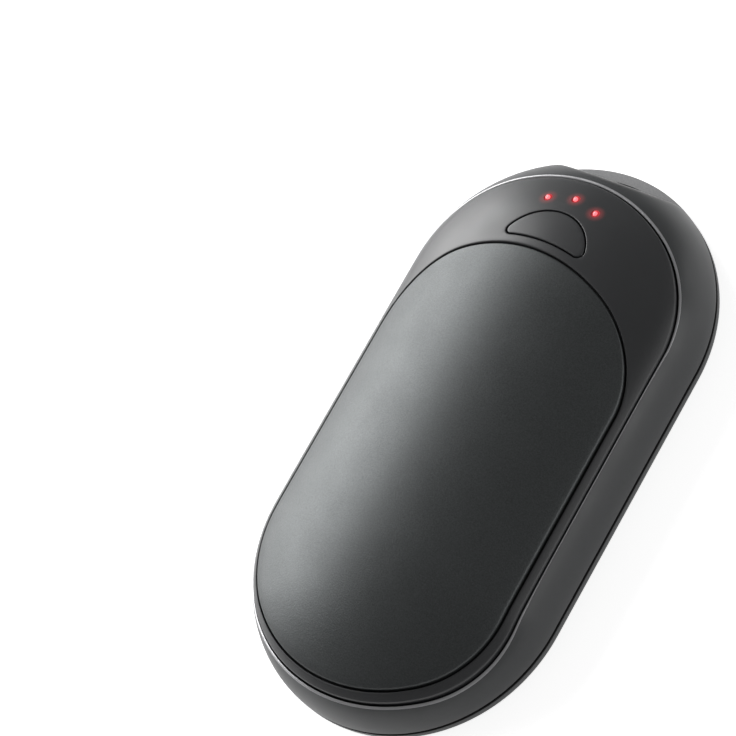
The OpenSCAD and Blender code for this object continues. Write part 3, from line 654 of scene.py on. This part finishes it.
def line_point(line, side, way_x, way_y, share=1.0, offset=0.0):
    """Point of an outline by its outward direction, shrunk towards its spine."""
    half = line[0] * share + offset
    y, corner, flat = line[1] if side > 0 else line[2]
    corner, flat = corner * share, flat * share
    if abs(way_x) * (corner + flat) > corner:
        return (math.copysign(corner, way_x) + way_x * (half - corner), y + way_y * (half - corner))
    return way_x * (half + flat), y - side * end_reach(corner, flat) + way_y * (half + flat)


def rows_to_mesh(rows, closed=True):
    """Mesh whose rows are outlines laid at their depths under the domed outside.

    It starts as a pill whose spine runs from -1 to 1, which numbers the rows and gives
    each point its direction or its share of the way along the sides.
    """
    bm = swept_pill([(1.0 + i * row_step, 0.0) for i in range(len(rows))],
                    1.0, -1.0, line_turns, line_sides, closed=closed)
    layer = bm.verts.layers.int["row"]
    spine_end = 0.9999
    for v in bm.verts:
        line, share, offset, depth = rows[v[layer]]
        if abs(v.co.y) < spine_end:
            x = math.copysign(line[0] * share + offset, v.co.x)
            y = line[2][0] + (line[1][0] - line[2][0]) * (v.co.y + 1) / 2
        else:
            side = math.copysign(1.0, v.co.y)
            way = v.co.copy()
            way.y -= side
            way.normalize()
            x, y = line_point(line, side, way.x, way.y, share, offset)
        away = math.hypot(x, y - min(max(y, -end_y), end_y))
        v.co = (x, y, dome_height(away, depth))
    bmesh.ops.remove_doubles(bm, verts=bm.verts, dist=weld_gap)
    bmesh.ops.recalc_face_normals(bm, faces=bm.faces)
    return bm


face_rows = [between(0, inset, drop) for inset, drop in reversed(broken_edge(inner_break, 4))]
face_rows += [between(i / face_steps, inner_break * (1 - i / face_steps)
                      + (face_grow - face_break) * i / face_steps, 0) for i in range(1, face_steps)]
face_rows += [between(1, face_grow - inset, drop) for inset, drop in broken_edge(face_break, 5)]
face_rows += [between(1 - i / under_steps, lap_clear * i / under_steps, face_t)
              for i in range(under_steps + 1)]
face_rows += [between(0, lap_clear, ledge_low), between(0, -ledge_w - seam_w, ledge_low),
              between(0, -ledge_w - seam_w, ledge_top), between(0, 0, ledge_top)]
face = as_object(rows_to_mesh(face_rows), "domed_face")

# The button's lower arc runs parallel to the plate's flatter arc
plate_gap = 2.0
button_h = 5.4
button_top_r = 7.3
button_low_r = plate_line[0] + plate_line[1][2] + plate_gap
button_low_y = plate_line[1][0] - end_reach(*plate_line[1][1:])
button_top_y = button_low_y + button_low_r + button_h - button_top_r
button_corner = 0.85
button_gap = 0.25
grid_x = (-7, 7)
grid_y = (28, 36)


def crescent(bm, grow):
    """Flat outline of the button: two arcs with rounded corners, grown by some width."""
    inner = button_top_r - button_corner
    outer = button_low_r + button_corner
    y = ((outer ** 2 - inner ** 2 + button_top_y ** 2 - button_low_y ** 2)
         / (2 * (button_top_y - button_low_y)))
    x = math.sqrt(inner ** 2 - (y - button_top_y) ** 2)
    lift = math.atan2(y - button_top_y, x)
    low = math.atan2(y - button_low_y, x)
    turn = math.pi - low + lift
    start = button_top_r + grow
    chain = [bm.verts.new((start * math.cos(lift), button_top_y + start * math.sin(lift), 0))]
    turns = ((0, button_top_y, math.pi - 2 * lift, 44), (-x, y, turn, 12),
             (0, button_low_y, 2 * low - math.pi, 36), (x, y, turn, 12))
    for cx, cy, angle, steps in turns:
        chain = bmesh.ops.spin(
            bm, geom=points_of(chain), cent=(cx, cy, 0), axis=(0, 0, 1),
            angle=angle, steps=steps, use_duplicate=False)["geom_last"]
    bmesh.ops.remove_doubles(bm, verts=bm.verts, dist=weld_gap)
    bmesh.ops.contextual_create(bm, geom=bm.edges)


def crescent_block(rows, grid):
    """Solid with the button's outline: rows of (growth, depth under the dome).

    A grid is cut into its top, so that the top can follow the dome.
    """
    bm = bmesh.new()
    crescent(bm, rows[0][0])
    for axis, (low, high) in enumerate((grid_x, grid_y)):
        for i in range(int((high - low) / grid)):
            place = [0, 0, 0]
            place[axis] = low + i * grid
            normal = [0, 0, 0]
            normal[axis] = 1
            bmesh.ops.bisect_plane(bm, geom=bm.verts[:] + bm.edges[:] + bm.faces[:],
                                   plane_co=place, plane_no=normal, dist=weld_gap)
    depth = bm.verts.layers.float.new("depth")
    way = bm.verts.layers.float_vector.new("way")
    rim = [e for e in bm.edges if e.is_boundary]
    for v in {v for e in rim for v in e.verts}:
        ends = [e.other_vert(v).co for e in v.link_edges if e.is_boundary]
        along = (ends[0] - ends[1]).normalized()
        out = along.cross((0, 0, 1))
        inward = sum((f.calc_center_median() for f in v.link_faces), v.co * 0)
        if out.dot(inward / len(v.link_faces) - v.co) > 0:
            out.negate()
        v[way] = out
    for v in bm.verts:
        v[depth] = rows[0][1]
    for (last, _), (growth, deep) in zip(rows, rows[1:]):
        fresh = bmesh.ops.extrude_edge_only(bm, edges=rim)["geom"]
        points = points_of(fresh)
        rim = edges_along(fresh, points)
        for v in points:
            v.co += v[way] * (growth - last)
            v[depth] = deep
    foot = bmesh.ops.contextual_create(bm, geom=rim)["faces"]
    bmesh.ops.triangulate(bm, faces=foot)
    for v in bm.verts:
        away = math.hypot(v.co.x, max(abs(v.co.y) - end_y, 0))
        v.co.z = dome_height(away, v[depth])
    bmesh.ops.recalc_face_normals(bm, faces=bm.faces)
    return bm


# The tool for the button's hole also breaks the hole's upper edge
hole_break = ((0.15, 0.0), (0.10, 0.01), (0.04, 0.05), (0.0, 0.15))
hole_high = -2
hole_low = 5
hole_rows = [(button_gap + hole_break[0][0], hole_high)]
hole_rows += [(button_gap + inset, drop) for inset, drop in hole_break]
hole_rows += [(button_gap, hole_low)]
hole_grid = 1.0
carve(face, as_object(crescent_block(hole_rows, hole_grid), "tool"))

# The lamps stand in a shallow arc above the button, each in its own hole
lamp_pitch = 4.4
lamp_drop = 1.2
lamp_in = 3.6
lamp_y = body_end - face_head - lamp_in
lamp_places = [(side * lamp_pitch, lamp_y - abs(side) * lamp_drop) for side in (-1, 0, 1)]
lamp_r = 0.65
lamp_clear = 0.05


def upright(places, radius, low, high):
    """Upright rods at some places."""
    bm = bmesh.new()
    for x, y in places:
        rod = bmesh.ops.create_cone(bm, cap_ends=True, segments=40, radius1=radius,
                                    radius2=radius, depth=high - low)["verts"]
        bmesh.ops.translate(bm, vec=(x, y, (low + high) / 2), verts=rod)
    return bm


lamp_tool = upright(lamp_places, lamp_r + lamp_clear, crown_z / 2, crown_z + over)
carve(face, as_object(lamp_tool, "tool"))
smooth(face)
face_black = satin("satin_black_face", (0.036, 0.037, 0.039), 0.38)

# Painted light: each lamp's faint red ring on the plastic round its hole is emission painted into
# the face's finish
glow_from = 0.3
glow_to = 1.9
glow_strength = 0.17
glow_tree = face_black.node_tree
glow_shader = glow_tree.nodes["Principled BSDF"]
glow_place = glow_tree.nodes.new("ShaderNodeTexCoord")
glow_sum = None
for x, y in lamp_places:
    away = glow_tree.nodes.new("ShaderNodeVectorMath")
    away.operation = "DISTANCE"
    away.inputs[1].default_value = (x * MM, y * MM, dome_height(math.hypot(x, y - end_y)) * MM)
    fade = glow_tree.nodes.new("ShaderNodeMapRange")
    fade.interpolation_type = "SMOOTHERSTEP"
    fade.inputs["From Min"].default_value = glow_from * MM
    fade.inputs["From Max"].default_value = glow_to * MM
    fade.inputs["To Min"].default_value = glow_strength
    fade.inputs["To Max"].default_value = 0.0
    glow_tree.links.new(glow_place.outputs["Object"], away.inputs[0])
    glow_tree.links.new(away.outputs["Value"], fade.inputs["Value"])
    if glow_sum is None:
        glow_sum = fade.outputs["Result"]
    else:
        both = glow_tree.nodes.new("ShaderNodeMath")
        glow_tree.links.new(glow_sum, both.inputs[0])
        glow_tree.links.new(fade.outputs["Result"], both.inputs[1])
        glow_sum = both.outputs["Value"]
glow_shader.inputs["Emission Color"].default_value = (1.0, 0.10, 0.11, 1)
glow_tree.links.new(glow_sum, glow_shader.inputs["Emission Strength"])
dress(face, face_black)
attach(face, "housing")
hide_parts("face_shell")


# Heat plate: the domed plate that warms the hand, an aluminium pressing under a
# sparkling charcoal coat.  It is bonded onto the ledge in the face shell.
plate_break = 0.2
plate_steps = 40
plate_rows = [(plate_line, i / plate_steps, 0.0, 0.0) for i in range(plate_steps)]
plate_rows += [(plate_line, 1.0, -inset, drop) for inset, drop in broken_edge(plate_break, 4)]
plate_rows += [(plate_line, 1.0, 0.0, plate_t), (plate_line, 0.0, 0.0, plate_t)]
plate = as_object(rows_to_mesh(plate_rows, closed=False), "warm_plate")
smooth(plate)
plate_coat = satin("charcoal_sparkle", (0.066, 0.071, 0.072), 0.43, metal=0.55,
                   grain=0.22, relief=0.6, tint=0.45)
dress(plate, plate_coat)
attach(plate, "housing")
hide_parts("heat_plate")


# Power button: a crescent of the face shell's own plastic, with a broken top edge and
# a hidden flange that keeps it in.  It slides down onto the switch.
button_break = 0.2
button_grid = 0.6
button_flange = 0.5
button_flange_t = 0.8
button_foot = shelf_depth + button_flange_t
button_rows = [(-inset, drop) for inset, drop in broken_edge(button_break, 4)]
button_rows += [(0, shelf_depth), (button_gap + button_flange, shelf_depth),
                (button_gap + button_flange, button_foot)]
button = as_object(crescent_block(button_rows, button_grid), "crescent_button")
smooth(button)
dress(button, face_black)
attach(button, "button")
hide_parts("power_button")


# Lamps: three red light pipes of clear moulded plastic, with softly rounded heads flush
# with the face.  Each is lit from below, so that its middle is brighter than its rim.
core_r = 0.36
lamp_foot_z = 7.65
lamp_head = ((0.0, 0.0), (core_r, 0.02), (0.5, 0.08), (0.63, 0.16), (lamp_r, 0.22))
lamp_bm = bmesh.new()
for x, y in lamp_places:
    crown = dome_height(math.hypot(x, max(y - end_y, 0)))
    section = [(r, crown - drop) for r, drop in lamp_head]
    section += [(lamp_r, lamp_foot_z), (0.0, lamp_foot_z)]
    points = [lamp_bm.verts.new((x + r, y, z)) for r, z in section]
    edges = [lamp_bm.edges.new(pair) for pair in zip(points, points[1:])]
    bmesh.ops.spin(lamp_bm, geom=points + edges, cent=(x, y, 0), axis=(0, 0, 1),
                   angle=2 * math.pi, steps=40, use_merge=True, use_duplicate=False)
bmesh.ops.remove_doubles(lamp_bm, verts=lamp_bm.verts, dist=weld_gap)
bmesh.ops.recalc_face_normals(lamp_bm, faces=lamp_bm.faces)
lamps = as_object(lamp_bm, "lamp_lenses")
smooth(lamps)
for name, colour, glow, strength in (
        ("lit_rim", (0.35, 0.01, 0.015), (0.75, 0.06, 0.07, 1), 0.5),
        ("lit_core", (0.9, 0.1, 0.12), (1.0, 0.22, 0.25, 1), 0.9)):
    lamp_red = satin(name, colour, 0.3)
    lamp_shader = lamp_red.node_tree.nodes["Principled BSDF"]
    lamp_shader.inputs["Emission Color"].default_value = glow
    lamp_shader.inputs["Emission Strength"].default_value = strength
    lamps.data.materials.append(lamp_red)
for f in lamps.data.polygons:
    away = min(math.hypot(f.center.x / MM - x, f.center.y / MM - y) for x, y in lamp_places)
    f.material_index = 1 if away < core_r else 0
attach(lamps, "housing")
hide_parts("light_pipes")


# Port cover: a moulded silicone flap that follows the shoulder, with a raised pull tab
# at its free end and a plug that fills the port.  It swings where it meets its fixed end.
flap_edge = 0.22
flap_lean = 0.2
flap_section = (
    wall_arc(0, cover_low, cover_high, 12)
    + wall_arc(cover_t, cover_low, cover_high - flap_lean, 8)[::-1])
flap_bm = sector(flap_section, cover_from + gap_angle, cover_to, cover_turns)


def round_corners(bm, width, segments=3, sharpest=35):
    """Rounds the edges of a solid where its faces turn a corner."""
    limit = math.radians(sharpest)
    rim = [e for e in bm.edges if e.calc_face_angle(0) > limit]
    bmesh.ops.bevel(bm, geom=rim, offset=width, segments=segments, affect="EDGES",
                    profile=0.5, material=-1, clamp_overlap=True)
    bmesh.ops.recalc_face_normals(bm, faces=bm.faces)


round_corners(flap_bm, flap_edge)
flap = as_object(flap_bm, "port_flap")
tab_rise = 0.5
tab_high = 5.0
tab_len = 4.1
tab_edge = 0.3
tab_section = (wall_arc(-tab_rise, cover_low, tab_high, 10)
               + wall_arc(cover_t / 2, cover_low, tab_high, 8)[::-1])
tab_bm = sector(tab_section, cover_to - tab_len * arc_unit, cover_to, 14)
round_corners(tab_bm, tab_edge, 4)
carve(flap, as_object(tab_bm, "tool"), "UNION")
plug_w = 7.5
plug_h = 1.8
plug_depth = 0.9
plug_root = 1.2
plug_edge = 0.3
plug_bm = stadium_bar(plug_w, plug_h, -plug_depth, plug_root, plug_edge)
carve(flap, as_object(plug_bm, "tool"), "UNION")
smooth(flap)
flap_rubber = satin("silicone_flap", (0.042, 0.044, 0.046), 0.5, grain=0.2, relief=0.08)
dress(flap, flap_rubber)
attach(flap, "cover")
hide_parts("port_cover")

# The fixed end of the same moulding fills the recess beside the hinge
anchor_lean = 0.3
anchor_edge = 0.15
anchor_section = (wall_arc(0, cover_low, cover_high, 12)
                  + wall_arc(recess_in, cover_low, cover_high - anchor_lean, 8)[::-1])
anchor_bm = sector(anchor_section, anchor_from, cover_from, 6)
round_corners(anchor_bm, anchor_edge)
anchor = as_object(anchor_bm, "flap_anchor")
smooth(anchor)
dress(anchor, flap_rubber)
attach(anchor, "housing")
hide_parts("port_cover_anchor")


# Inside the shells: the parts of the board, the battery and the heating films keep
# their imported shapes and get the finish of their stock: colour, roughness and metal.
stock = {
    "main_board": ((0.02, 0.12, 0.06), 0.35, 0.0),
    "battery_guard_board": ((0.02, 0.12, 0.06), 0.35, 0.0),
    "usb_shell": ((0.62, 0.62, 0.63), 0.28, 1.0),
    "usb_tongue": ((0.015, 0.015, 0.016), 0.45, 0.0),
    "tact_switch": ((0.02, 0.02, 0.021), 0.5, 0.0),
    "switch_plunger": ((0.015, 0.015, 0.015), 0.5, 0.0),
    "status_emitters": ((0.85, 0.8, 0.7), 0.4, 0.0),
    "light_baffle": ((0.012, 0.012, 0.012), 0.7, 0.0),
    "control_chips": ((0.015, 0.015, 0.016), 0.45, 0.0),
    "heater_transistors": ((0.018, 0.018, 0.019), 0.45, 0.0),
    "power_inductor": ((0.08, 0.08, 0.085), 0.6, 0.2),
    "board_capacitors": ((0.42, 0.28, 0.15), 0.5, 0.0),
    "board_resistors": ((0.02, 0.02, 0.022), 0.4, 0.0),
    "battery_connector": ((0.8, 0.77, 0.7), 0.5, 0.0),
    "board_screws": ((0.5, 0.5, 0.52), 0.3, 1.0),
    "battery_cell": ((0.6, 0.61, 0.62), 0.35, 0.8),
    "battery_tabs": ((0.65, 0.64, 0.62), 0.35, 1.0),
    "battery_leads": ((0.5, 0.015, 0.015), 0.45, 0.0),
    "battery_tray": ((0.06, 0.062, 0.066), 0.5, 0.0),
    "front_heater_film": ((0.5, 0.22, 0.05), 0.3, 0.0),
    "back_heater_film": ((0.5, 0.22, 0.05), 0.3, 0.0),
    "battery_pad": ((0.22, 0.23, 0.24), 0.8, 0.0),
    "front_sponge": ((0.1, 0.1, 0.11), 0.9, 0.0),
    "film_leads": ((0.75, 0.72, 0.66), 0.5, 0.0),
    "temperature_sensor": ((0.015, 0.015, 0.015), 0.4, 0.0),
    "thermal_fuse": ((0.55, 0.55, 0.56), 0.35, 1.0),
    "plate_adhesive": ((0.01, 0.01, 0.01), 0.7, 0.0),
    "magnets": ((0.6, 0.6, 0.61), 0.25, 1.0),
}
for name, (colour, rough, metal) in stock.items():
    dress(nodes[name], satin(name + "_stock", colour, rough, metal=metal))


# Studio: a plain white floor, a broad soft lamp low on the left, a weak one on the right,
# a small strip behind and a camera at the photograph's angle.
floor_half = 1500
# The camera sees the floor lit up to white, and faces mirror it only close to the unit
floor_seen = 0.78
floor_mirrored = 0.75
mirror_from = 70
mirror_to = 170
floor_bm = bmesh.new()
bmesh.ops.create_grid(floor_bm, x_segments=1, y_segments=1, size=floor_half)
floor = as_object(floor_bm, "studio_floor")
floor_white = bpy.data.materials.new("floor_white")
floor_white.use_nodes = True
floor_tree = floor_white.node_tree
floor_shader = floor_tree.nodes["Principled BSDF"]
floor_shader.inputs["Base Color"].default_value = (0.8, 0.8, 0.8, 1)
floor_shader.inputs["Roughness"].default_value = 0.9
floor_shader.inputs["Specular IOR Level"].default_value = 0.0
rays = floor_tree.nodes.new("ShaderNodeLightPath")
seen = floor_tree.nodes.new("ShaderNodeMath")
seen.operation = "MAXIMUM"
lift = floor_tree.nodes.new("ShaderNodeMath")
lift.operation = "MULTIPLY"
lift.inputs[1].default_value = floor_seen
floor_tree.links.new(rays.outputs["Is Camera Ray"], seen.inputs[0])
floor_tree.links.new(rays.outputs["Is Transmission Ray"], seen.inputs[1])
mirrored = floor_tree.nodes.new("ShaderNodeMath")
mirrored.operation = "MULTIPLY_ADD"
floor_place = floor_tree.nodes.new("ShaderNodeTexCoord")
floor_reach = floor_tree.nodes.new("ShaderNodeVectorMath")
floor_reach.operation = "LENGTH"
floor_near = floor_tree.nodes.new("ShaderNodeMapRange")
floor_near.interpolation_type = "SMOOTHSTEP"
floor_near.inputs["From Min"].default_value = mirror_from * MM
floor_near.inputs["From Max"].default_value = mirror_to * MM
floor_near.inputs["To Min"].default_value = floor_mirrored
floor_near.inputs["To Max"].default_value = 0.0
floor_tree.links.new(floor_place.outputs["Object"], floor_reach.inputs[0])
floor_tree.links.new(floor_reach.outputs["Value"], floor_near.inputs["Value"])
floor_tree.links.new(floor_near.outputs["Result"], mirrored.inputs[1])
floor_tree.links.new(rays.outputs["Is Glossy Ray"], mirrored.inputs[0])
floor_tree.links.new(seen.outputs["Value"], mirrored.inputs[2])
floor_tree.links.new(mirrored.outputs["Value"], lift.inputs[0])
floor_tree.links.new(lift.outputs["Value"], floor_shader.inputs["Emission Strength"])
floor_shader.inputs["Emission Color"].default_value = (1, 1, 1, 1)
dress(floor, floor_white)

# The air is white to the camera, and lights the unit only weakly
air_light = 0.22
world = bpy.data.worlds.new("studio_air")
bpy.context.scene.world = world
world.use_nodes = True
air = world.node_tree
back = air.nodes["Background"]
back.inputs["Color"].default_value = (1, 1, 1, 1)
sight = air.nodes.new("ShaderNodeLightPath")
level = air.nodes.new("ShaderNodeMapRange")
level.inputs["To Min"].default_value = air_light
level.inputs["To Max"].default_value = 1.0
air.links.new(sight.outputs["Is Camera Ray"], level.inputs["Value"])
air.links.new(level.outputs["Result"], back.inputs["Strength"])


def softbox(name, place, aim, width, height, watts):
    """Rectangular soft lamp that faces a point."""
    lamp = bpy.data.lights.new(name, "AREA")
    lamp.shape = "RECTANGLE"
    lamp.size = width * MM
    lamp.size_y = height * MM
    lamp.energy = watts
    holder = bpy.data.objects.new(name, lamp)
    holder.location = [c * MM for c in place]
    way = [b - a for a, b in zip(place, aim)]
    flat = math.hypot(way[0], way[1])
    holder.rotation_euler = (math.atan2(flat, -way[2]), 0, math.atan2(-way[0], way[1]))
    bpy.context.scene.collection.objects.link(holder)


softbox("left_softbox", place=(-480, 60, 200), aim=(0, 10, 0),
        width=620, height=420, watts=5.2)
softbox("right_softbox", place=(420, 160, 90), aim=(0, 10, 8),
        width=300, height=130, watts=0.42)
softbox("back_strip_light", place=(250, 440, 40), aim=(16, 40, 6),
        width=100, height=60, watts=0.08)

# The camera's place, its turn in degrees and its lens come from fitting the unit's
# outline and seams to the photograph
camera_place = (229.5067, -84.6774, 372.7085)
camera_turn = (27.51656, 24.33354, 32.48835)
eye = bpy.data.cameras.new("camera")
eye.sensor_width = 36
eye.lens = 142.992
camera = bpy.data.objects.new("camera", eye)
camera.location = [c * MM for c in camera_place]
camera.rotation_euler = [math.radians(a) for a in camera_turn]
bpy.context.scene.collection.objects.link(camera)
bpy.context.scene.camera = camera
bpy.context.scene.view_settings.view_transform = "Standard"
